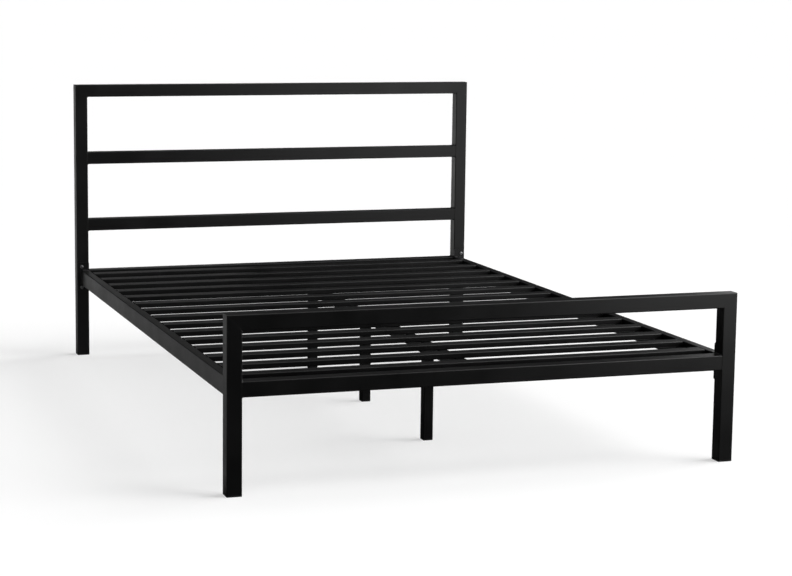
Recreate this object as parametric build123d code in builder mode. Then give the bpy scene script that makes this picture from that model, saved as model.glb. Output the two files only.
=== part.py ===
from build123d import *
import os

# Bed frame for a full-size mattress, made of black square steel tube.
# The headboard and the footboard are welded frames. Two side rails bolt to their posts,
# a centre beam on three legs runs between them, and steel slats lie across the rails.
# X runs across the bed, Y from the foot (-) to the head (+) and Z up. The origin is on the
# floor below the middle of the bed. Sizes are in millimetres.

# Overall sizes
BED_WIDTH = 1400
BED_LENGTH = 2016
HEADBOARD_HEIGHT = 914
FOOTBOARD_HEIGHT = 457
DECK_HEIGHT = 290
HEADBOARD_RAIL_PITCH = 225

# Square tube of the headboard and footboard
FRAME_TUBE = 40
FRAME_WALL = 1.5
FRAME_RADIUS = 2.5

# Rectangular tube of the side rails, and the plates welded to their ends
SIDE_RAIL_WIDTH = 25
SIDE_RAIL_HEIGHT = 50
SIDE_RAIL_WALL = 1.5
SIDE_RAIL_RADIUS = 2.5
PLATE_WIDTH = 36
PLATE_HEIGHT = 100
PLATE_THICKNESS = 4
PLATE_RADIUS = 4

# Bolts of the side rails, one above and one below each rail end
RAIL_BOLT_INSET = 15
RAIL_BOLT_DROP = 57
RAIL_BOLT_RISE = 13

# Slats and the angle ledges that carry their ends
SLAT_COUNT = 15
SLAT_PITCH = 128
SLAT_WIDTH = 40
SLAT_HEIGHT = 15
SLAT_WALL = 1
SLAT_RADIUS = 2.5
SLAT_END_GAP = 2
LEDGE_LEG = 20
LEDGE_THICKNESS = 2
LEDGE_LENGTH = 1860
LEDGE_RADIUS = 1.5
CAP_FLANGE = 2
CAP_PLUG = 5
CAP_CLEARANCE = 0.1

# Centre beam, the hangers at its ends and the legs under it
BEAM_WIDTH = 28
BEAM_HEIGHT = 28
BEAM_WALL = 1.5
BEAM_RADIUS = 2.5
BEAM_END_GAP = 1
HANGER_THICKNESS = 2.5
HANGER_CLEARANCE = 0.3
HANGER_DEPTH = 45
HANGER_HEIGHT = 24
HANGER_BACK_HEIGHT = 27
HANGER_BOLT_DEPTH = 28
HANGER_BOLT_RISE = 14
LEG_TUBE = 28
LEG_WALL = 1.5
LEG_RADIUS = 2
LEG_SPACING = 540
LEG_PLATE_LENGTH = 84
LEG_PLATE_THICKNESS = 3
LEG_PLATE_RADIUS = 4
LEG_BOLT_SPACING = 60

# Plastic glides pushed into the open lower ends of posts and legs
GLIDE_BASE = 4
GLIDE_PLUG = 16
GLIDE_CLEARANCE = 0.15
GLIDE_EDGE = 1

# M6 button-head bolts, washers and nuts
BOLT_DIAMETER = 6
BOLT_HOLE = 6.6
BOLT_HEAD = 10.5
BOLT_HEAD_HEIGHT = 3.3
BOLT_HEAD_ROUNDING = 2.2
SOCKET_WIDTH = 4
SOCKET_DEPTH = 2
RAIL_BOLT_LENGTH = 16
LEG_BOLT_LENGTH = 14
BEAM_BOLT_LENGTH = 40
WASHER_DIAMETER = 12
WASHER_BORE = 6.4
WASHER_THICKNESS = 1.6
NUT_WIDTH = 10
NUT_HEIGHT = 5
NUT_BORE = 6.1

# Self-drilling screws that hold the slat ends down on the ledges
SCREW_DIAMETER = 4.2
SCREW_HOLE = 4.4
SCREW_LENGTH = 11
SCREW_HEAD = 8
SCREW_HEAD_HEIGHT = 2.4
SCREW_HEAD_ROUNDING = 1.4
SCREW_INSET = 12
DRIVE_WIDTH = 4
DRIVE_SLOT = 1
DRIVE_DEPTH = 1.2

# Largest distance between an edge and the place where it is looked for
EDGE_MATCH = 0.02

# Places that follow from the sizes above
HALF_WIDTH = BED_WIDTH / 2
HALF_LENGTH = BED_LENGTH / 2
POST_X = HALF_WIDTH - FRAME_TUBE / 2
POST_Y = HALF_LENGTH - FRAME_TUBE / 2
POST_INNER_X = HALF_WIDTH - FRAME_TUBE
POST_INNER_Y = HALF_LENGTH - FRAME_TUBE
SIDE_RAIL_X = POST_INNER_X + SIDE_RAIL_WIDTH / 2
RAIL_BOLT_X = HALF_WIDTH - RAIL_BOLT_INSET
RAIL_BOLT_HEIGHTS = (DECK_HEIGHT - RAIL_BOLT_DROP, DECK_HEIGHT + RAIL_BOLT_RISE)
PLATE_X = POST_INNER_X + PLATE_WIDTH / 2
PLATE_Z = sum(RAIL_BOLT_HEIGHTS) / 2
SLAT_BOTTOM = DECK_HEIGHT - SLAT_HEIGHT
SLAT_END_X = POST_INNER_X - SLAT_END_GAP - CAP_FLANGE
SCREW_X = POST_INNER_X - SCREW_INSET
SLAT_ROWS = [(row - (SLAT_COUNT - 1) / 2) * SLAT_PITCH for row in range(SLAT_COUNT)]
BEAM_BOTTOM = SLAT_BOTTOM - BEAM_HEIGHT
BEAM_END_Y = POST_INNER_Y - HANGER_THICKNESS - BEAM_END_GAP
HANGER_BOLT_Y = POST_INNER_Y - HANGER_BOLT_DEPTH
HANGER_OUTER_X = BEAM_WIDTH / 2 + HANGER_CLEARANCE + HANGER_THICKNESS
LEG_PLATE_BOTTOM = BEAM_BOTTOM - LEG_PLATE_THICKNESS
LEG_ROWS = {"foot": -LEG_SPACING, "middle": 0, "head": LEG_SPACING}
SIDES = {"left": -1, "right": 1}
ENDS = {"foot": -1, "head": 1}

os.makedirs("parts", exist_ok=True)


def save(piece, name):
    """Labels a finished piece and writes it as its own file."""
    piece.label = name
    export_step(piece, f"parts/{name}.step")


# Planes that the pieces are drawn on


def across(y, z):
    """A plane facing +X, for tubes that run across the bed."""
    return Plane(origin=(0, y, z), x_dir=(0, 1, 0), z_dir=(1, 0, 0))


def along(x, z):
    """A plane facing +Y, for tubes that run along the bed."""
    return Plane(origin=(x, 0, z), x_dir=(1, 0, 0), z_dir=(0, 1, 0))


def inward(end, x, y, z):
    """A plane facing the middle of the bed from its head or foot, with local Y upwards."""
    return Plane(origin=(x, end * y, z), x_dir=(end, 0, 0), z_dir=(0, -end, 0))


def mitre(side, y, height):
    """The 45-degree joint between a post and a top rail."""
    return Plane(origin=(side * HALF_WIDTH, y, height), x_dir=(0, 1, 0), z_dir=(-side, 0, 1))


# Profiles that several pieces share


def tube_section(width, depth, wall, radius):
    """A hollow rectangle with rounded corners, drawn in the current sketch."""
    RectangleRounded(width, depth, radius)
    RectangleRounded(width - 2 * wall, depth - 2 * wall, radius - wall, mode=Mode.SUBTRACT)


def rims_at(part, seats, height, radius):
    """The circular edges of one radius, at one height above the seats they belong to."""
    centres = [seat.from_local_coords(Vector(0, 0, height)) for seat in seats]
    rims = part.edges().filter_by(GeomType.CIRCLE)
    rims = rims.filter_by(lambda rim: abs(rim.radius - radius) < EDGE_MATCH)
    return rims.filter_by(
        lambda rim: any((rim.arc_center - centre).length < EDGE_MATCH for centre in centres)
    )


# Headboard and footboard: posts with mitred tops, and the rails between them


def frame_post(side, end, height):
    """A corner post, drilled where the end plate of the side rail bolts on."""
    with BuildPart() as post:
        with BuildSketch(Plane((side * POST_X, end * POST_Y, GLIDE_BASE))):
            tube_section(FRAME_TUBE, FRAME_TUBE, FRAME_WALL, FRAME_RADIUS)
        extrude(amount=height - GLIDE_BASE)
        split(bisect_by=mitre(side, end * POST_Y, height), keep=Keep.BOTTOM)
        with BuildSketch(*[inward(end, side * RAIL_BOLT_X, POST_INNER_Y, z) for z in RAIL_BOLT_HEIGHTS]):
            Circle(BOLT_HOLE / 2)
        extrude(amount=-FRAME_WALL, mode=Mode.SUBTRACT)
    return post.part


def top_rail(end, height):
    """The top rail of a headboard or footboard, mitred at both ends."""
    with BuildPart() as rail:
        with BuildSketch(across(end * POST_Y, height - FRAME_TUBE / 2)):
            tube_section(FRAME_TUBE, FRAME_TUBE, FRAME_WALL, FRAME_RADIUS)
        extrude(amount=HALF_WIDTH, both=True)
        for side in SIDES.values():
            split(bisect_by=mitre(side, end * POST_Y, height), keep=Keep.TOP)
    return rail.part


def cross_rail(end, top):
    """A rail welded square between the two posts, given the height of its top."""
    with BuildPart() as rail:
        with BuildSketch(across(end * POST_Y, top - FRAME_TUBE / 2)):
            tube_section(FRAME_TUBE, FRAME_TUBE, FRAME_WALL, FRAME_RADIUS)
        extrude(amount=POST_INNER_X, both=True)
    return rail.part


for side_name, side in SIDES.items():
    save(frame_post(side, ENDS["head"], HEADBOARD_HEIGHT), f"headboard_{side_name}_post")
    save(frame_post(side, ENDS["foot"], FOOTBOARD_HEIGHT), f"footboard_{side_name}_post")

save(top_rail(ENDS["head"], HEADBOARD_HEIGHT), "headboard_top_rail")
save(cross_rail(ENDS["head"], HEADBOARD_HEIGHT - HEADBOARD_RAIL_PITCH), "headboard_middle_rail")
save(cross_rail(ENDS["head"], HEADBOARD_HEIGHT - 2 * HEADBOARD_RAIL_PITCH), "headboard_lower_rail")
save(cross_rail(ENDS["head"], DECK_HEIGHT), "headboard_deck_rail")
save(top_rail(ENDS["foot"], FOOTBOARD_HEIGHT), "footboard_top_rail")
save(cross_rail(ENDS["foot"], DECK_HEIGHT), "footboard_lower_rail")


# Side rails: a tube between two end plates, with a ledge for the slats on its inner face


def side_rail(side):
    """The rectangular tube of a side rail, standing on edge."""
    with BuildPart() as rail:
        with BuildSketch(along(side * SIDE_RAIL_X, DECK_HEIGHT - SIDE_RAIL_HEIGHT / 2)):
            tube_section(SIDE_RAIL_WIDTH, SIDE_RAIL_HEIGHT, SIDE_RAIL_WALL, SIDE_RAIL_RADIUS)
        extrude(amount=POST_INNER_Y - PLATE_THICKNESS, both=True)
    return rail.part


def rail_end_plate(side, end):
    """The plate welded across a rail end, taller than the rail so that its bolts clear it."""
    with BuildPart() as plate:
        with BuildSketch(inward(end, side * PLATE_X, POST_INNER_Y, PLATE_Z)):
            RectangleRounded(PLATE_WIDTH, PLATE_HEIGHT, PLATE_RADIUS)
        extrude(amount=PLATE_THICKNESS)
        with BuildSketch(*[inward(end, side * RAIL_BOLT_X, POST_INNER_Y, z) for z in RAIL_BOLT_HEIGHTS]):
            Circle(BOLT_HOLE / 2)
        extrude(amount=PLATE_THICKNESS, mode=Mode.SUBTRACT)
    return plate.part


def slat_ledge(side):
    """Steel angle welded to the rail's inner face, with a screw hole under each slat end."""
    corner = Plane(
        origin=(side * POST_INNER_X, 0, SLAT_BOTTOM),
        x_dir=(-side, 0, 0),
        z_dir=(0, side, 0),
    )
    with BuildPart() as ledge:
        with BuildSketch(corner):
            Rectangle(LEDGE_LEG, LEDGE_THICKNESS, align=(Align.MIN, Align.MAX))
            Rectangle(LEDGE_THICKNESS, LEDGE_LEG, align=(Align.MIN, Align.MAX))
        extrude(amount=LEDGE_LENGTH / 2, both=True)
        inner_corner = ledge.edges().filter_by(Axis.Y).sort_by_distance(
            corner.from_local_coords(Vector(LEDGE_THICKNESS, -LEDGE_THICKNESS, 0))
        )[0]
        fillet(inner_corner, LEDGE_RADIUS)
        with BuildSketch(*[Plane((side * SCREW_X, y, SLAT_BOTTOM)) for y in SLAT_ROWS]):
            Circle(SCREW_HOLE / 2)
        extrude(amount=-LEDGE_THICKNESS, mode=Mode.SUBTRACT)
    return ledge.part


for side_name, side in SIDES.items():
    save(side_rail(side), f"{side_name}_side_rail")
    save(slat_ledge(side), f"{side_name}_slat_ledge")
    for end_name, end in ENDS.items():
        save(rail_end_plate(side, end), f"{side_name}_rail_{end_name}_plate")


# Slats: flat tubes with plastic end caps, screwed down from below


def slat(y):
    """One slat, with a screw hole in its lower wall near each end."""
    with BuildPart() as tube:
        with BuildSketch(across(y, DECK_HEIGHT - SLAT_HEIGHT / 2)):
            tube_section(SLAT_WIDTH, SLAT_HEIGHT, SLAT_WALL, SLAT_RADIUS)
        extrude(amount=SLAT_END_X, both=True)
        with BuildSketch(*[Plane((side * SCREW_X, y, SLAT_BOTTOM)) for side in SIDES.values()]):
            Circle(SCREW_HOLE / 2)
        extrude(amount=SLAT_WALL, mode=Mode.SUBTRACT)
    return tube.part


for number, y in enumerate(SLAT_ROWS, start=1):
    save(slat(y), f"slat_{number:02d}")

slat_ends = [
    Plane(origin=(side * SLAT_END_X, y, DECK_HEIGHT - SLAT_HEIGHT / 2), x_dir=(0, 1, 0), z_dir=(side, 0, 0))
    for side in SIDES.values()
    for y in SLAT_ROWS
]
with BuildPart() as slat_end_caps:
    with BuildSketch(*slat_ends):
        RectangleRounded(SLAT_WIDTH, SLAT_HEIGHT, SLAT_RADIUS)
    extrude(amount=CAP_FLANGE)
    with BuildSketch(*slat_ends):
        RectangleRounded(
            SLAT_WIDTH - 2 * (SLAT_WALL + CAP_CLEARANCE),
            SLAT_HEIGHT - 2 * (SLAT_WALL + CAP_CLEARANCE),
            SLAT_RADIUS - SLAT_WALL,
        )
    extrude(amount=-CAP_PLUG)
save(slat_end_caps.part, "slat_end_caps")

screw_seats = [
    Plane(
        origin=(side * SCREW_X, y, SLAT_BOTTOM - LEDGE_THICKNESS),
        x_dir=(1, 0, 0),
        z_dir=(0, 0, -1),
    )
    for side in SIDES.values()
    for y in SLAT_ROWS
]
with BuildPart() as slat_screws:
    with BuildSketch(*screw_seats):
        Circle(SCREW_HEAD / 2)
    extrude(amount=SCREW_HEAD_HEIGHT)
    fillet(rims_at(slat_screws, screw_seats, SCREW_HEAD_HEIGHT, SCREW_HEAD / 2), SCREW_HEAD_ROUNDING)
    with BuildSketch(*[seat.offset(SCREW_HEAD_HEIGHT) for seat in screw_seats]):
        Rectangle(DRIVE_WIDTH, DRIVE_SLOT)
        Rectangle(DRIVE_SLOT, DRIVE_WIDTH)
    extrude(amount=-DRIVE_DEPTH, mode=Mode.SUBTRACT)
    with BuildSketch(*screw_seats):
        Circle(SCREW_DIAMETER / 2)
    extrude(amount=-SCREW_LENGTH)
save(slat_screws.part, "slat_screws")


# Centre beam, held at both ends in hangers and under its length by three legs

with BuildPart() as centre_beam:
    with BuildSketch(along(0, SLAT_BOTTOM - BEAM_HEIGHT / 2)):
        tube_section(BEAM_WIDTH, BEAM_HEIGHT, BEAM_WALL, BEAM_RADIUS)
    extrude(amount=BEAM_END_Y, both=True)
    with BuildSketch(*[across(end * HANGER_BOLT_Y, BEAM_BOTTOM + HANGER_BOLT_RISE) for end in ENDS.values()]):
        Circle(BOLT_HOLE / 2)
    extrude(amount=BEAM_WIDTH / 2, both=True, mode=Mode.SUBTRACT)
    with BuildSketch(*[Plane((0, y, BEAM_BOTTOM)) for y in LEG_ROWS.values()]):
        with GridLocations(0, LEG_BOLT_SPACING, 1, 2):
            Circle(BOLT_HOLE / 2)
    extrude(amount=BEAM_WALL, mode=Mode.SUBTRACT)
save(centre_beam.part, "centre_beam")


def beam_hanger(end):
    """An open-topped steel pocket, welded to the face of a cross rail."""
    face = inward(end, 0, POST_INNER_Y, BEAM_BOTTOM)
    with BuildPart() as hanger:
        with BuildSketch(face):
            with Locations((0, -HANGER_THICKNESS)):
                Rectangle(2 * HANGER_OUTER_X, HANGER_BACK_HEIGHT, align=(Align.CENTER, Align.MIN))
        extrude(amount=HANGER_THICKNESS)
        with BuildSketch(face):
            with Locations((0, -HANGER_THICKNESS)):
                Rectangle(2 * HANGER_OUTER_X, HANGER_HEIGHT, align=(Align.CENTER, Align.MIN))
            Rectangle(
                2 * (HANGER_OUTER_X - HANGER_THICKNESS),
                HANGER_HEIGHT,
                align=(Align.CENTER, Align.MIN),
                mode=Mode.SUBTRACT,
            )
        extrude(amount=HANGER_DEPTH)
        with BuildSketch(across(end * HANGER_BOLT_Y, BEAM_BOTTOM + HANGER_BOLT_RISE)):
            Circle(BOLT_HOLE / 2)
        extrude(amount=HANGER_OUTER_X, both=True, mode=Mode.SUBTRACT)
    return hanger.part


def leg_plate(y):
    """The plate welded on top of a centre leg and bolted to the underside of the beam."""
    with BuildPart() as plate:
        with BuildSketch(Plane((0, y, LEG_PLATE_BOTTOM))):
            RectangleRounded(LEG_TUBE, LEG_PLATE_LENGTH, LEG_PLATE_RADIUS)
            with GridLocations(0, LEG_BOLT_SPACING, 1, 2):
                Circle(BOLT_HOLE / 2, mode=Mode.SUBTRACT)
        extrude(amount=LEG_PLATE_THICKNESS)
    return plate.part


def centre_leg(y):
    """The square tube of a centre leg."""
    with BuildPart() as leg:
        with BuildSketch(Plane((0, y, GLIDE_BASE))):
            tube_section(LEG_TUBE, LEG_TUBE, LEG_WALL, LEG_RADIUS)
        extrude(amount=LEG_PLATE_BOTTOM - GLIDE_BASE)
    return leg.part


for end_name, end in ENDS.items():
    save(beam_hanger(end), f"{end_name}_beam_hanger")

for leg_name, y in LEG_ROWS.items():
    save(centre_leg(y), f"{leg_name}_centre_leg")
    save(leg_plate(y), f"{leg_name}_leg_plate")


# Glides: a foot as wide as the tube, with a plug that fills its lower end


def glides(bases, width, wall, radius):
    """A set of glides standing on the floor, one at each base plane."""
    with BuildPart() as feet:
        with BuildSketch(*bases):
            RectangleRounded(width, width, radius)
        extrude(amount=GLIDE_BASE)
        chamfer(feet.faces().filter_by(Axis.Z).group_by(Axis.Z)[0].edges(), GLIDE_EDGE)
        with BuildSketch(*[base.offset(GLIDE_BASE) for base in bases]):
            plug_width = width - 2 * (wall + GLIDE_CLEARANCE)
            RectangleRounded(plug_width, plug_width, radius - wall)
        extrude(amount=GLIDE_PLUG)
    return feet.part


post_bases = [Plane((side * POST_X, end * POST_Y, 0)) for side in SIDES.values() for end in ENDS.values()]
save(glides(post_bases, FRAME_TUBE, FRAME_WALL, FRAME_RADIUS), "post_glides")
save(glides([Plane((0, y, 0)) for y in LEG_ROWS.values()], LEG_TUBE, LEG_WALL, LEG_RADIUS), "leg_glides")


# Fasteners: every set is placed on seats that face away from the joint they clamp


def button_bolts(seats, length):
    """Button-head bolts, each with the underside of its head on a seat."""
    with BuildPart() as bolts:
        with BuildSketch(*seats):
            Circle(BOLT_HEAD / 2)
        extrude(amount=BOLT_HEAD_HEIGHT)
        fillet(rims_at(bolts, seats, BOLT_HEAD_HEIGHT, BOLT_HEAD / 2), BOLT_HEAD_ROUNDING)
        with BuildSketch(*[seat.offset(BOLT_HEAD_HEIGHT) for seat in seats]):
            RegularPolygon(SOCKET_WIDTH / 2, 6, major_radius=False)
        extrude(amount=-SOCKET_DEPTH, mode=Mode.SUBTRACT)
        with BuildSketch(*seats):
            Circle(BOLT_DIAMETER / 2)
        extrude(amount=-length)
    return bolts.part


def hex_nuts(seats):
    """Hexagon nuts, each standing up from a seat."""
    with BuildPart() as nuts:
        with BuildSketch(*seats):
            RegularPolygon(NUT_WIDTH / 2, 6, major_radius=False)
            Circle(NUT_BORE / 2, mode=Mode.SUBTRACT)
        extrude(amount=NUT_HEIGHT)
    return nuts.part


plate_faces = [
    inward(end, side * RAIL_BOLT_X, POST_INNER_Y - PLATE_THICKNESS, z)
    for side in SIDES.values()
    for end in ENDS.values()
    for z in RAIL_BOLT_HEIGHTS
]
with BuildPart() as rail_washers:
    with BuildSketch(*plate_faces):
        Circle(WASHER_DIAMETER / 2)
        Circle(WASHER_BORE / 2, mode=Mode.SUBTRACT)
    extrude(amount=WASHER_THICKNESS)
save(rail_washers.part, "rail_washers")
save(button_bolts([face.offset(WASHER_THICKNESS) for face in plate_faces], RAIL_BOLT_LENGTH), "rail_bolts")
weld_nut_depth = PLATE_THICKNESS + FRAME_WALL + NUT_HEIGHT
save(hex_nuts([face.offset(-weld_nut_depth) for face in plate_faces]), "rail_weld_nuts")

leg_bolt_places = [
    (0, y + step * LEG_BOLT_SPACING / 2) for y in LEG_ROWS.values() for step in ENDS.values()
]
leg_bolt_seats = [
    Plane(origin=(x, y, LEG_PLATE_BOTTOM), x_dir=(1, 0, 0), z_dir=(0, 0, -1)) for x, y in leg_bolt_places
]
save(button_bolts(leg_bolt_seats, LEG_BOLT_LENGTH), "leg_bolts")
save(hex_nuts([Plane((x, y, BEAM_BOTTOM + BEAM_WALL)) for x, y in leg_bolt_places]), "leg_weld_nuts")

hanger_sides = [
    across(end * HANGER_BOLT_Y, BEAM_BOTTOM + HANGER_BOLT_RISE).offset(HANGER_OUTER_X) for end in ENDS.values()
]
save(button_bolts(hanger_sides, BEAM_BOLT_LENGTH), "beam_bolts")
hanger_far_sides = [side_plane.offset(-2 * HANGER_OUTER_X - NUT_HEIGHT) for side_plane in hanger_sides]
save(hex_nuts(hanger_far_sides), "beam_nuts")
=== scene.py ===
import math
import random

import bmesh
import bpy
from mathutils import Matrix, Vector


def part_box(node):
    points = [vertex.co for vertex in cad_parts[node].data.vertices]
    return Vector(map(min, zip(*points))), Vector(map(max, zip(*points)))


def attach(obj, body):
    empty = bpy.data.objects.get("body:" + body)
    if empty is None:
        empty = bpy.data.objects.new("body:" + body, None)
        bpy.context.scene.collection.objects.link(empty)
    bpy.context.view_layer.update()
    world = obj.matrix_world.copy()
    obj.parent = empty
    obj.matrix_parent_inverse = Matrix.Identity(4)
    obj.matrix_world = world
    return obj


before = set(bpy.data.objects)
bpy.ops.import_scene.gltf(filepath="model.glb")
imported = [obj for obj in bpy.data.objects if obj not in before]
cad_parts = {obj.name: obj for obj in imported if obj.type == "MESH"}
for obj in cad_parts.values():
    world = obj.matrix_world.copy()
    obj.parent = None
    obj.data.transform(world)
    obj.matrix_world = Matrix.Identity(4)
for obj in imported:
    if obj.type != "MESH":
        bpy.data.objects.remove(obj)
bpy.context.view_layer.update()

# Looks of a black steel bed frame: powder coat, plastic, zinc-plated fasteners and weld beads.
# X runs across the bed, Y from the foot (-) to the head (+) and Z up. Sizes are in metres.

MM = 0.001
X = Vector((1, 0, 0))
Y = Vector((0, 1, 0))
Z = Vector((0, 0, 1))
SIDES = (-1, 1)
ENDS = (-1, 1)
BODY = "root"

# Camera: where it stands, how it is turned in degrees, its lens and sensor in millimetres, and its
# shift as a share of the picture's width
CAMERA_PLACE = (-1.9406, -5.7124, 1.2740)
CAMERA_YAW = 18.157
CAMERA_PITCH = 8.000
CAMERA_ROLL = 0.529
CAMERA_LENS = 91.742
CAMERA_SHIFT = (0.0644, -0.0328)
SENSOR_WIDTH = 36.0

# Floor: its paint and glow as the camera sees them, and how much of its light the bed gets, painted by
# place: a painted shadow under and before the bed, lighter beside it and lightest behind and far out.
# The spans are where each zone fades in, measured from the middle (beside, beyond) or along Y.
FLOOR_SIZE = 1000.0
FLOOR_SEEN = 0.5
FLOOR_GLOW = 0.5
# Painted shadow: the floor's shade under and before the bed, as the bed's surfaces see it
FLOOR_PAINTED_SHADOW = 0.02
FLOOR_BOUNCE = 0.26
FLOOR_FAR = 0.47
FLOOR_BESIDE = (0.55, 0.80)
FLOOR_BEYOND = (1.6, 2.6)
FLOOR_BEHIND = (1.6, 3.2)
FLOOR_AHEAD = (-1.1, -0.8)

# Sky: a fill that grows with height, and a glow around one direction
SKY_SEEN = 1.0
SKY_LEVEL = 0.008
SKY_HIGH = 0.40
SKY_HIGH_RAMP = (0.36, 0.86)
SKY_TOP = 7.0
SKY_TOP_AIM = (0.84, -0.11, 0.53)
SKY_TOP_RAMP = (0.80, 0.98)

# Lights: name, place, point that it faces, (width, height) and power in watts
LIGHTS = (
    ("front_right_softbox", (2.1, -2.5, 1.1), (2.1, 0, 1.1), (2.4, 2.0), 19.5),
    ("front_left_panel", (-2.6, -3.4, 1.2), (0, 0, 0.5), (2.0, 2.0), 12),
    ("back_right_panel", (3.4, 2.2, 1.0), (0, 0, 0.5), (2.0, 2.0), 12),
    ("back_panel", (-0.1, 2.7, 0.52), (0.5, 1.0, 0.6), (1.1, 0.55), 0.4),
    ("underside_softbox", (0, 0, -1.6), (0, 0, 0), (2.5, 3.0), 18),
)

# Materials. Scales are in waves per metre, and NOISE_SPAN is where most of a noise's values lie.
NOISE_SPAN = (0.3, 0.7)
EDGE_SLOPE = (0.01, 0.22)
# Patches along the rounded edges: there the coat is rubbed smoother, and its colour carries a painted
# highlight
COAT_WEAR_AND_HIGHLIGHT_SCALE = 45
COAT_WEAR_AND_HIGHLIGHT_SPAN = (0.35, 0.7)
COAT_WEAR_AND_HIGHLIGHT = (0.35, 1)
COAT_CLOUD_SCALE = 9
COAT_GRAIN_SCALE = 1900
COAT_PEEL_SCALE = 420
COAT_CLOUD_TONE = 0.5
# Painted highlight: how much lighter the coat's colour is on its rounded edges
COAT_EDGE_HIGHLIGHT = 0.5
COAT_COLOURS = ((0.0012, 0.0012, 0.0013), (0.0030, 0.0030, 0.0032))
COAT_ROUGHNESS = (0.33, 0.40)
COAT_GRAIN_ROUGHNESS = 0.03
COAT_EDGE_POLISH = 0.08
COAT_PEEL_HEIGHT = 0.06 * MM
COAT_GRAIN_HEIGHT = 0.012 * MM
PLASTIC_CLOUD_SCALE = 60
PLASTIC_TEXTURE_SCALE = 2600
PLASTIC_COLOURS = ((0.008, 0.008, 0.009), (0.016, 0.016, 0.017))
PLASTIC_ROUGHNESS = (0.5, 0.64)
PLASTIC_TEXTURE_HEIGHT = 0.02 * MM
PLASTIC_SPECULAR = 0.4
ZINC_FILM_SCALE = 240
ZINC_MARK_SCALE = 2200
ZINC_MARK_HEIGHT = 0.008 * MM
BLACK_ZINC_COLOURS = ((0.22, 0.22, 0.225), (0.34, 0.34, 0.345))
BLACK_ZINC_ROUGHNESS = (0.24, 0.36)
BRIGHT_ZINC_COLOURS = ((0.50, 0.51, 0.53), (0.66, 0.66, 0.63))
BRIGHT_ZINC_ROUGHNESS = (0.22, 0.36)

# Mitre seams under the coat
SEAM_WIDTH = 0.7 * MM
SEAM_DEPTH = 0.12 * MM

# Weld beads
BEAD_LEG = 2.6 * MM
BEAD_SINK = 0.25 * MM
BEAD_CROWN = 0.16
BEAD_STEP = 0.5 * MM
BEAD_LEAST_STEPS = 4
BEAD_ARC_POINTS = 7
BEAD_END = 2.2 * MM
BEAD_END_THICKNESS = 0.02
BEAD_SEED = 7
RIPPLE_PITCH = 2.2 * MM
RIPPLE_HEIGHT = 0.09
RIPPLE_BEND = 1.1 * MM
RIPPLE_AT_TOES = 0.4
STITCH_COUNT = 8
STITCH_LENGTH = 25 * MM
STITCH_LEG = 1.8 * MM
HANGER_LEG = 2.2 * MM
FLUSH_STEP = 1.0 * MM
FLUSH_SINK = 0.12 * MM
FLUSH_WAVE = 0.08 * MM
FLUSH_INSIDE = 0.4
FLUSH_MIDDLE = 0.5

# Rounded edges of the tubes that the welds stop at, and room for the washer beside one of them
FRAME_EDGE = 2.5 * MM
RAIL_EDGE = 2.5 * MM
LEG_EDGE = 2.0 * MM
WASHER_ROOM = 5 * MM


# Shader helpers


def new_material(name):
    """An empty node material with its Principled shader already wired to the output."""
    material = bpy.data.materials.new(name)
    material.use_nodes = True
    nodes = material.node_tree.nodes
    nodes.clear()
    output = nodes.new("ShaderNodeOutputMaterial")
    shader = nodes.new("ShaderNodeBsdfPrincipled")
    material.node_tree.links.new(shader.outputs["BSDF"], output.inputs["Surface"])
    return material, shader


def noise(tree, scale, detail):
    """A noise texture in the object's own coordinates. Its scale is in waves per metre."""
    place = tree.nodes.new("ShaderNodeTexCoord")
    texture = tree.nodes.new("ShaderNodeTexNoise")
    texture.inputs["Scale"].default_value = scale
    texture.inputs["Detail"].default_value = detail
    tree.links.new(place.outputs["Object"], texture.inputs["Vector"])
    return texture.outputs["Fac"]


def remap(tree, value, span, to_low, to_high):
    """A value's span (low, high) stretched to [to_low, to_high] and clamped."""
    node = tree.nodes.new("ShaderNodeMapRange")
    node.inputs["From Min"].default_value = span[0]
    node.inputs["From Max"].default_value = span[1]
    node.inputs["To Min"].default_value = to_low
    node.inputs["To Max"].default_value = to_high
    tree.links.new(value, node.inputs["Value"])
    return node.outputs["Result"]


def math_node(tree, operation, first, second=None):
    """One arithmetic step. Each input is a socket or a number."""
    node = tree.nodes.new("ShaderNodeMath")
    node.operation = operation
    for socket, value in zip(node.inputs, (first, second)):
        if value is None:
            continue
        if isinstance(value, (int, float)):
            socket.default_value = value
        else:
            tree.links.new(value, socket)
    return node.outputs["Value"]


def split_axes(tree, vector):
    """A vector's X, Y and Z outputs."""
    parts = tree.nodes.new("ShaderNodeSeparateXYZ")
    tree.links.new(vector, parts.inputs["Vector"])
    return parts.outputs["X"], parts.outputs["Y"], parts.outputs["Z"]


def blend_colours(tree, factor, colours):
    """Two colours mixed by a factor. A Mix node's colour inputs are numbers 6 and 7."""
    node = tree.nodes.new("ShaderNodeMix")
    node.data_type = "RGBA"
    node.inputs[6].default_value = (*colours[0], 1)
    node.inputs[7].default_value = (*colours[1], 1)
    tree.links.new(factor, node.inputs[0])
    return node.outputs[2]


def camera_choice(tree, seen, unseen):
    """A number for camera rays, and a socket's value for all other rays."""
    rays = tree.nodes.new("ShaderNodeLightPath")
    choice = tree.nodes.new("ShaderNodeMix")
    choice.data_type = "FLOAT"
    choice.inputs[3].default_value = seen
    tree.links.new(rays.outputs["Is Camera Ray"], choice.inputs[0])
    tree.links.new(unseen, choice.inputs[2])
    return choice.outputs[0]


def bump(tree, height, distance, under=None):
    """A bump of that height in metres, over another bump if one is given."""
    node = tree.nodes.new("ShaderNodeBump")
    node.inputs["Distance"].default_value = distance
    tree.links.new(height, node.inputs["Height"])
    if under is not None:
        tree.links.new(under, node.inputs["Normal"])
    return node.outputs["Normal"]


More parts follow.
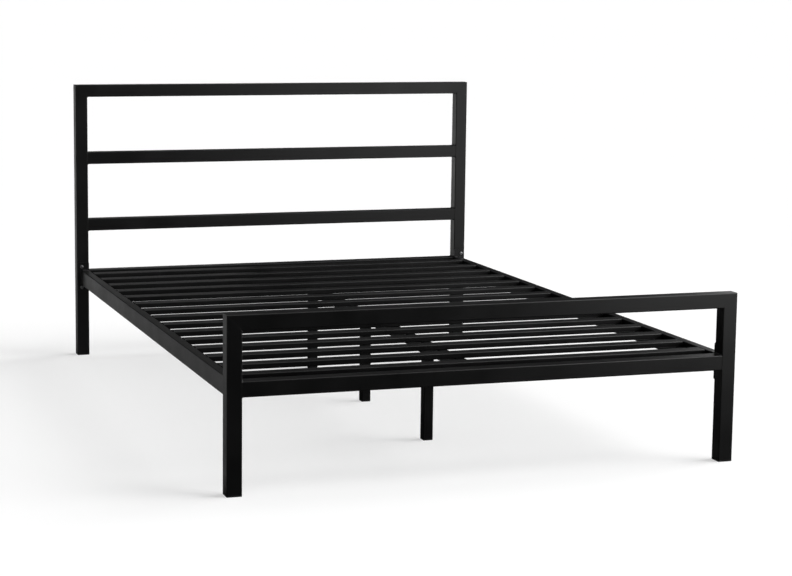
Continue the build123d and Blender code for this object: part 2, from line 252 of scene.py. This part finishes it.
def rounded_edges(tree):
    """1 on the rounded edges of square tube and 0 on its flat faces, from the surface normal."""
    place = tree.nodes.new("ShaderNodeTexCoord")
    absolute = tree.nodes.new("ShaderNodeVectorMath")
    absolute.operation = "ABSOLUTE"
    tree.links.new(place.outputs["Normal"], absolute.inputs[0])
    x, y, z = split_axes(tree, absolute.outputs["Vector"])
    largest = math_node(tree, "MAXIMUM", math_node(tree, "MAXIMUM", x, y), z)
    return remap(tree, math_node(tree, "SUBTRACT", 1.0, largest), EDGE_SLOPE, 0, 1)


def mitre_line(tree, half_width, top):
    """0 on the mitre line at both top corners of a headboard or footboard, and 1 away from it."""
    place = tree.nodes.new("ShaderNodeTexCoord")
    x, _, z = split_axes(tree, place.outputs["Object"])
    inward = math_node(tree, "SUBTRACT", half_width, math_node(tree, "ABSOLUTE", x))
    down = math_node(tree, "SUBTRACT", top, z)
    off_line = math_node(tree, "ABSOLUTE", math_node(tree, "SUBTRACT", inward, down))
    return remap(tree, off_line, (0, SEAM_WIDTH), 0, 1)


# Materials


def coat_edges(tree):
    """How much the coat is rubbed smoother and carries a painted highlight: 0 on flat faces, and patchy
    along the rounded edges.
    """
    patches = remap(tree, noise(tree, COAT_WEAR_AND_HIGHLIGHT_SCALE, detail=3), COAT_WEAR_AND_HIGHLIGHT_SPAN, *COAT_WEAR_AND_HIGHLIGHT)
    return math_node(tree, "MULTIPLY", rounded_edges(tree), patches)


def coat_colour(tree, cloud, edges):
    """Black that varies a little over the tube, with a painted highlight that lightens it along the
    rubbed rounded edges.
    """
    variation = remap(tree, cloud, NOISE_SPAN, 0, COAT_CLOUD_TONE)
    # A painted highlight: the colour made lighter along the rounded edges
    painted_highlight = math_node(tree, "MULTIPLY", edges, COAT_EDGE_HIGHLIGHT)
    return blend_colours(tree, math_node(tree, "ADD", variation, painted_highlight), COAT_COLOURS)


def coat_roughness(tree, cloud, grain, edges):
    """Satin that varies a little, with a fine grain, and smoother where the coat is rubbed."""
    base = remap(tree, cloud, NOISE_SPAN, *COAT_ROUGHNESS)
    fine = remap(tree, grain, NOISE_SPAN, -COAT_GRAIN_ROUGHNESS, COAT_GRAIN_ROUGHNESS)
    polish = math_node(tree, "MULTIPLY", edges, COAT_EDGE_POLISH)
    return math_node(tree, "SUBTRACT", math_node(tree, "ADD", base, fine), polish)


def powder_coat(name="powder_coat_black", mitred=None):
    """Satin black powder coat: orange peel, a fine grain, and edges rubbed smoother, with a painted
    highlight lightening their colour.

    mitred is the half width and height of a frame whose mitre lines show through the coat.
    """
    material, shader = new_material(name)
    tree = material.node_tree
    edges = coat_edges(tree)
    cloud = noise(tree, COAT_CLOUD_SCALE, detail=3)
    grain = noise(tree, COAT_GRAIN_SCALE, detail=1)
    surface = bump(tree, noise(tree, COAT_PEEL_SCALE, detail=2), COAT_PEEL_HEIGHT)
    if mitred is not None:
        surface = bump(tree, mitre_line(tree, *mitred), SEAM_DEPTH, under=surface)
    surface = bump(tree, grain, COAT_GRAIN_HEIGHT, under=surface)
    tree.links.new(coat_colour(tree, cloud, edges), shader.inputs["Base Color"])
    tree.links.new(coat_roughness(tree, cloud, grain, edges), shader.inputs["Roughness"])
    tree.links.new(surface, shader.inputs["Normal"])
    return material


def moulded_plastic():
    """Matt black polyethylene with the fine texture of its mould."""
    material, shader = new_material("moulded_plastic_black")
    tree = material.node_tree
    colour = blend_colours(tree, noise(tree, PLASTIC_CLOUD_SCALE, detail=3), PLASTIC_COLOURS)
    texture = noise(tree, PLASTIC_TEXTURE_SCALE, detail=1)
    roughness = remap(tree, texture, NOISE_SPAN, *PLASTIC_ROUGHNESS)
    tree.links.new(colour, shader.inputs["Base Color"])
    tree.links.new(roughness, shader.inputs["Roughness"])
    tree.links.new(bump(tree, texture, PLASTIC_TEXTURE_HEIGHT), shader.inputs["Normal"])
    shader.inputs["Specular IOR Level"].default_value = PLASTIC_SPECULAR
    return material


def plated_steel(name, colours, roughness):
    """Zinc-plated steel: fine turning marks, and a passivation film that varies in tone."""
    material, shader = new_material(name)
    tree = material.node_tree
    film = noise(tree, ZINC_FILM_SCALE, detail=3)
    marks = noise(tree, ZINC_MARK_SCALE, detail=2)
    tree.links.new(blend_colours(tree, film, colours), shader.inputs["Base Color"])
    tree.links.new(remap(tree, marks, NOISE_SPAN, *roughness), shader.inputs["Roughness"])
    tree.links.new(bump(tree, marks, ZINC_MARK_HEIGHT), shader.inputs["Normal"])
    shader.inputs["Metallic"].default_value = 1.0
    return material


# One material for each slot of the record
MATERIALS = {
    "black_powder_coat": powder_coat(),
    "black_plastic": moulded_plastic(),
    "black_zinc_steel": plated_steel("zinc_black", BLACK_ZINC_COLOURS, BLACK_ZINC_ROUGHNESS),
    "bright_zinc_steel": plated_steel("zinc_bright", BRIGHT_ZINC_COLOURS, BRIGHT_ZINC_ROUGHNESS),
}


def dress_cad_nodes():
    """Every CAD node takes the detailed material of the slot that it was packed with."""
    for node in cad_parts.values():
        for place in node.material_slots:
            place.material = MATERIALS[place.material.name]


def dress_mitred_frames():
    """The mitred tubes of the headboard and footboard show their corner seams."""
    for board in ("headboard", "footboard"):
        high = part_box(f"{board}_top_rail")[1]
        coat = powder_coat(f"powder_coat_{board}", (high.x, high.z))
        for tube in ("top_rail", "left_post", "right_post"):
            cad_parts[f"{board}_{tube}"].material_slots[0].material = coat


# Weld beads. Each bead draws its numbers from ripples in turn, so every run gives the same ones.

ripples = random.Random(BEAD_SEED)


def outer(low, high, axis, sign):
    """The coordinate of a box on its low or high side along one axis."""
    return (high if sign > 0 else low)[axis]


def close_tube(mesh, rings):
    """Skins rings of vertices into one closed tube."""
    for ring, following in zip(rings, rings[1:]):
        for index in range(len(ring)):
            after = (index + 1) % len(ring)
            mesh.faces.new((ring[index], ring[after], following[after], following[index]))
    mesh.faces.new(rings[0])
    mesh.faces.new(rings[-1])


def end_swell(run, length):
    """A bead's thickness at a place along it: 1, and less towards its rounded ends."""
    reach = min(min(run, length - run) / BEAD_END, 1)
    return math.sqrt(max(1 - (1 - reach) ** 2, BEAD_END_THICKNESS))


def bead_ring(mesh, centre, run, shift, first, second, leg):
    """One cross-section of a bead: its root behind the corner, then its arc from leg to leg."""
    outward = (first + second).normalized()
    ring = [mesh.verts.new(centre - (first + second) * BEAD_SINK)]
    for point in range(BEAD_ARC_POINTS):
        turn = point / (BEAD_ARC_POINTS - 1)
        bow = math.sin(math.pi * turn)
        wave = math.cos(2 * math.pi * ((run + RIPPLE_BEND * bow) / RIPPLE_PITCH + shift))
        share = RIPPLE_AT_TOES + (1 - RIPPLE_AT_TOES) * bow
        reach = leg * (1 + RIPPLE_HEIGHT * wave * share)
        place = centre + (first * (1 - turn) + second * turn) * reach
        place += outward * (BEAD_CROWN * reach * bow)
        if point == 0:
            place -= second * BEAD_SINK
        if point == BEAD_ARC_POINTS - 1:
            place -= first * BEAD_SINK
        ring.append(mesh.verts.new(place))
    return ring


def add_bead(mesh, corner, along, length, first, second, leg):
    """A rippled fillet weld in the corner between two faces.

    It runs from corner in direction along, and each leg lies on a face, towards first and second.
    """
    steps = max(int(length / BEAD_STEP), BEAD_LEAST_STEPS)
    shift = ripples.random()
    rings = []
    for step in range(steps + 1):
        run = length * step / steps
        size = leg * end_swell(run, length)
        rings.append(bead_ring(mesh, corner + along * run, run, shift, first, second, size))
    close_tube(mesh, rings)


def finish_piece(mesh, name, slot):
    """Turns built mesh data into a smooth-shaded object that rides on the frame."""
    bmesh.ops.recalc_face_normals(mesh, faces=mesh.faces)
    data = bpy.data.meshes.new(name)
    mesh.to_mesh(data)
    mesh.free()
    data.shade_smooth()
    data.materials.append(MATERIALS[slot])
    piece = bpy.data.objects.new(name, data)
    bpy.context.scene.collection.objects.link(piece)
    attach(piece, BODY)


def butt_joint_beads(mesh, rail):
    """Beads above and below both ends of a rail, where they meet the posts."""
    low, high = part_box(rail)
    start = low.y + FRAME_EDGE
    run = high.y - low.y - 2 * FRAME_EDGE
    for side in SIDES:
        x = outer(low, high, 0, side)
        for z, up in ((low.z, -Z), (high.z, Z)):
            add_bead(mesh, Vector((x, start, z)), Y, run, -side * X, up, BEAD_LEG)


def mitre_beads(mesh, top_rail):
    """Beads inside the two mitred corners under a top rail."""
    low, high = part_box(top_rail)
    tube = high.z - low.z
    for side in SIDES:
        x = outer(low, high, 0, side) - side * tube
        corner = Vector((x, low.y + FRAME_EDGE, low.z))
        add_bead(mesh, corner, Y, tube - 2 * FRAME_EDGE, -side * X, -Z, BEAD_LEG)


def add_flush_weld(mesh, x, side, face_y, end, low_z, high_z):
    """Weld metal ground almost level in the groove between a rail end and a post's rounded edge."""
    inside = Vector((x + side * FRAME_EDGE * FLUSH_INSIDE, face_y - end * FRAME_EDGE, 0))
    steps = int((high_z - low_z) / FLUSH_STEP)
    rings = []
    for step in range(steps + 1):
        z = low_z + (high_z - low_z) * step / steps
        level = face_y - end * (FLUSH_SINK + FLUSH_WAVE * ripples.random())
        outline = (
            Vector((x - side * BEAD_SINK, level, 0)),
            Vector((x + side * FRAME_EDGE * FLUSH_MIDDLE, level, 0)),
            Vector((x + side * FRAME_EDGE, level, 0)),
            inside,
        )
        rings.append([mesh.verts.new(point + z * Z) for point in outline])
    close_tube(mesh, rings)


def flush_welds(mesh, rail):
    """Ground welds on the front and back of both ends of a rail."""
    low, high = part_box(rail)
    bottom = low.z + FRAME_EDGE / 2
    top = high.z - FRAME_EDGE / 2
    for side in SIDES:
        x = outer(low, high, 0, side)
        for end in ENDS:
            add_flush_weld(mesh, x, side, outer(low, high, 1, end), end, bottom, top)


def frame_welds(name, top_rail, cross_rails):
    """All the weld metal of a headboard or footboard."""
    mesh = bmesh.new()
    mitre_beads(mesh, top_rail)
    for rail in cross_rails:
        butt_joint_beads(mesh, rail)
        flush_welds(mesh, rail)
    finish_piece(mesh, name, "black_powder_coat")


def end_plate_beads(mesh, rail, side, end):
    """Beads on three sides of a rail end, stopping short of the washer below it."""
    low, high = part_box(rail)
    face = outer(low, high, 1, end)
    x = outer(low, high, 0, side)
    inward = -end * Y
    height = high.z - low.z - 2 * RAIL_EDGE
    width = high.x - low.x - 2 * RAIL_EDGE
    add_bead(mesh, Vector((x, face, low.z + RAIL_EDGE)), Z, height, side * X, inward, BEAD_LEG)
    start = outer(low, high, 0, -side) + side * RAIL_EDGE
    add_bead(mesh, Vector((start, face, high.z)), side * X, width, Z, inward, BEAD_LEG)
    width -= WASHER_ROOM
    add_bead(mesh, Vector((start, face, low.z)), side * X, width, -Z, inward, BEAD_LEG)


def ledge_beads(mesh, ledge, side):
    """Short stitch welds under a slat ledge, evenly spaced along the side rail."""
    low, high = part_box(ledge)
    x = outer(low, high, 0, side)
    pitch = (high.y - low.y) / STITCH_COUNT
    for stitch in range(STITCH_COUNT):
        start = low.y + pitch * (stitch + 0.5) - STITCH_LENGTH / 2
        add_bead(mesh, Vector((x, start, low.z)), Y, STITCH_LENGTH, -Z, -side * X, STITCH_LEG)


def side_rail_welds():
    """The welds of both side rails: end plates and slat ledges."""
    for side, word in zip(SIDES, ("left", "right")):
        mesh = bmesh.new()
        for end in ENDS:
            end_plate_beads(mesh, f"{word}_side_rail", side, end)
        ledge_beads(mesh, f"{word}_slat_ledge", side)
        finish_piece(mesh, f"{word}_side_rail_welds", "black_powder_coat")


def hanger_welds():
    """Beads that hold the centre beam's hangers on the rails at its ends."""
    mesh = bmesh.new()
    for end, hanger, rail in (
        (-1, "foot_beam_hanger", "footboard_lower_rail"),
        (1, "head_beam_hanger", "headboard_deck_rail"),
    ):
        low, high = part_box(hanger)
        face = outer(low, high, 1, end)
        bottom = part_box(rail)[0].z + FRAME_EDGE
        for side in SIDES:
            corner = Vector((outer(low, high, 0, side), face, bottom))
            add_bead(mesh, corner, Z, high.z - bottom, side * X, -end * Y, BEAD_LEG)
        corner = Vector((low.x, face, high.z))
        add_bead(mesh, corner, X, high.x - low.x, Z, -end * Y, HANGER_LEG)
    finish_piece(mesh, "beam_hanger_welds", "black_powder_coat")


def leg_welds():
    """Beads between each centre leg and the plate on top of it."""
    mesh = bmesh.new()
    for leg in ("foot_centre_leg", "middle_centre_leg", "head_centre_leg"):
        low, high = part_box(leg)
        run = high.x - low.x - 2 * LEG_EDGE
        for end in ENDS:
            corner = Vector((low.x + LEG_EDGE, outer(low, high, 1, end), high.z))
            add_bead(mesh, corner, X, run, end * Y, -Z, BEAD_LEG)
    finish_piece(mesh, "centre_leg_welds", "black_powder_coat")


def build_welds():
    """Weld metal at every welded joint."""
    frame_welds(
        "headboard_welds",
        "headboard_top_rail",
        ["headboard_middle_rail", "headboard_lower_rail", "headboard_deck_rail"],
    )
    frame_welds("footboard_welds", "footboard_top_rail", ["footboard_lower_rail"])
    side_rail_welds()
    hanger_welds()
    leg_welds()


# Studio


def floor_bounce(tree):
    """How much the floor reflects, painted by place: a painted shadow under and before the bed, and
    lighter beside and behind it.
    """
    place = tree.nodes.new("ShaderNodeTexCoord")
    x, y, _ = split_axes(tree, place.outputs["Object"])
    aside = math_node(tree, "ABSOLUTE", x)
    # The painted shadow under the bed fades out beside it and behind it, and stays in front of it
    beside = remap(tree, aside, FLOOR_BESIDE, FLOOR_PAINTED_SHADOW, FLOOR_BOUNCE)
    beyond = remap(tree, aside, FLOOR_BEYOND, 0, FLOOR_FAR - FLOOR_BOUNCE)
    behind = remap(tree, y, FLOOR_BEHIND, FLOOR_PAINTED_SHADOW, FLOOR_FAR)
    ahead = remap(tree, y, FLOOR_AHEAD, 0, 1)
    open_floor = math_node(tree, "MAXIMUM", math_node(tree, "ADD", beside, beyond), behind)
    lit = math_node(tree, "MULTIPLY", open_floor, ahead)
    return math_node(tree, "MAXIMUM", lit, FLOOR_PAINTED_SHADOW)


def floor_paint():
    """Pale paint with a glow that only the camera sees, clear from below and to shadow rays."""
    material = bpy.data.materials.new("floor_paint")
    material.use_nodes = True
    tree = material.node_tree
    tree.nodes.clear()
    output = tree.nodes.new("ShaderNodeOutputMaterial")
    paint = tree.nodes.new("ShaderNodeBsdfDiffuse")
    glow = tree.nodes.new("ShaderNodeEmission")
    lit = tree.nodes.new("ShaderNodeAddShader")
    clear = tree.nodes.new("ShaderNodeBsdfTransparent")
    surface = tree.nodes.new("ShaderNodeMixShader")
    rays = tree.nodes.new("ShaderNodeLightPath")
    sides = tree.nodes.new("ShaderNodeNewGeometry")
    seen_glow = math_node(tree, "MULTIPLY", rays.outputs["Is Camera Ray"], FLOOR_GLOW)
    through = math_node(tree, "MAXIMUM", sides.outputs["Backfacing"], rays.outputs["Is Shadow Ray"])
    shade = camera_choice(tree, FLOOR_SEEN, floor_bounce(tree))
    tree.links.new(shade, paint.inputs["Color"])
    tree.links.new(seen_glow, glow.inputs["Strength"])
    tree.links.new(paint.outputs["BSDF"], lit.inputs[0])
    tree.links.new(glow.outputs["Emission"], lit.inputs[1])
    tree.links.new(through, surface.inputs[0])
    tree.links.new(lit.outputs["Shader"], surface.inputs[1])
    tree.links.new(clear.outputs["BSDF"], surface.inputs[2])
    tree.links.new(surface.outputs["Shader"], output.inputs["Surface"])
    return material


def build_floor():
    """A plain pale floor that runs out of sight."""
    mesh = bmesh.new()
    bmesh.ops.create_grid(mesh, x_segments=1, y_segments=1, size=FLOOR_SIZE / 2)
    data = bpy.data.meshes.new("studio_floor")
    mesh.to_mesh(data)
    mesh.free()
    data.materials.append(floor_paint())
    floor = bpy.data.objects.new("studio_floor", data)
    bpy.context.scene.collection.objects.link(floor)


def build_sky():
    """White as the camera sees it. Its light is a faint fill from above and a glow at the upper right."""
    world = bpy.data.worlds.new("studio_light")
    bpy.context.scene.world = world
    world.use_nodes = True
    tree = world.node_tree
    tree.nodes.clear()
    output = tree.nodes.new("ShaderNodeOutputWorld")
    sky = tree.nodes.new("ShaderNodeBackground")
    sky.inputs["Color"].default_value = (1, 1, 1, 1)
    direction = tree.nodes.new("ShaderNodeTexCoord").outputs["Generated"]
    aim = tree.nodes.new("ShaderNodeVectorMath")
    aim.operation = "DOT_PRODUCT"
    aim.inputs[1].default_value = Vector(SKY_TOP_AIM).normalized()
    tree.links.new(direction, aim.inputs[0])
    height = split_axes(tree, direction)[2]
    fill = remap(tree, height, SKY_HIGH_RAMP, SKY_LEVEL, SKY_HIGH)
    glow = remap(tree, aim.outputs["Value"], SKY_TOP_RAMP, 0, SKY_TOP)
    strength = camera_choice(tree, SKY_SEEN, math_node(tree, "ADD", fill, glow))
    tree.links.new(strength, sky.inputs["Strength"])
    tree.links.new(sky.outputs["Background"], output.inputs["Surface"])


def soft_light(name, place, target, size, power):
    """A softbox (width, height) at a place, turned to its target."""
    data = bpy.data.lights.new(name, "AREA")
    data.shape = "RECTANGLE"
    data.size, data.size_y = size
    data.energy = power
    light = bpy.data.objects.new(name, data)
    bpy.context.scene.collection.objects.link(light)
    light.visible_camera = False
    light.location = place
    aim = Vector(target) - Vector(place)
    light.rotation_euler = aim.to_track_quat("-Z", "Y").to_euler()


def build_lights():
    """The main softbox at the front right, weaker panels around, and a softbox under the floor."""
    for light in LIGHTS:
        soft_light(*light)


def build_camera():
    """The camera, turned by yaw, pitch and roll, with the small shift of a cropped picture."""
    data = bpy.data.cameras.new("camera")
    data.lens = CAMERA_LENS
    data.sensor_width = SENSOR_WIDTH
    data.shift_x, data.shift_y = CAMERA_SHIFT
    data.clip_end = FLOOR_SIZE
    camera = bpy.data.objects.new("camera", data)
    bpy.context.scene.collection.objects.link(camera)
    turn = Matrix.Rotation(-math.radians(CAMERA_YAW), 4, "Z")
    turn @= Matrix.Rotation(math.radians(90 - CAMERA_PITCH), 4, "X")
    turn @= Matrix.Rotation(math.radians(CAMERA_ROLL), 4, "Z")
    camera.matrix_world = Matrix.Translation(CAMERA_PLACE) @ turn
    bpy.context.scene.camera = camera


dress_cad_nodes()
dress_mitred_frames()
build_welds()
build_floor()
build_sky()
build_lights()
build_camera()
bpy.context.scene.view_settings.view_transform = "Standard"
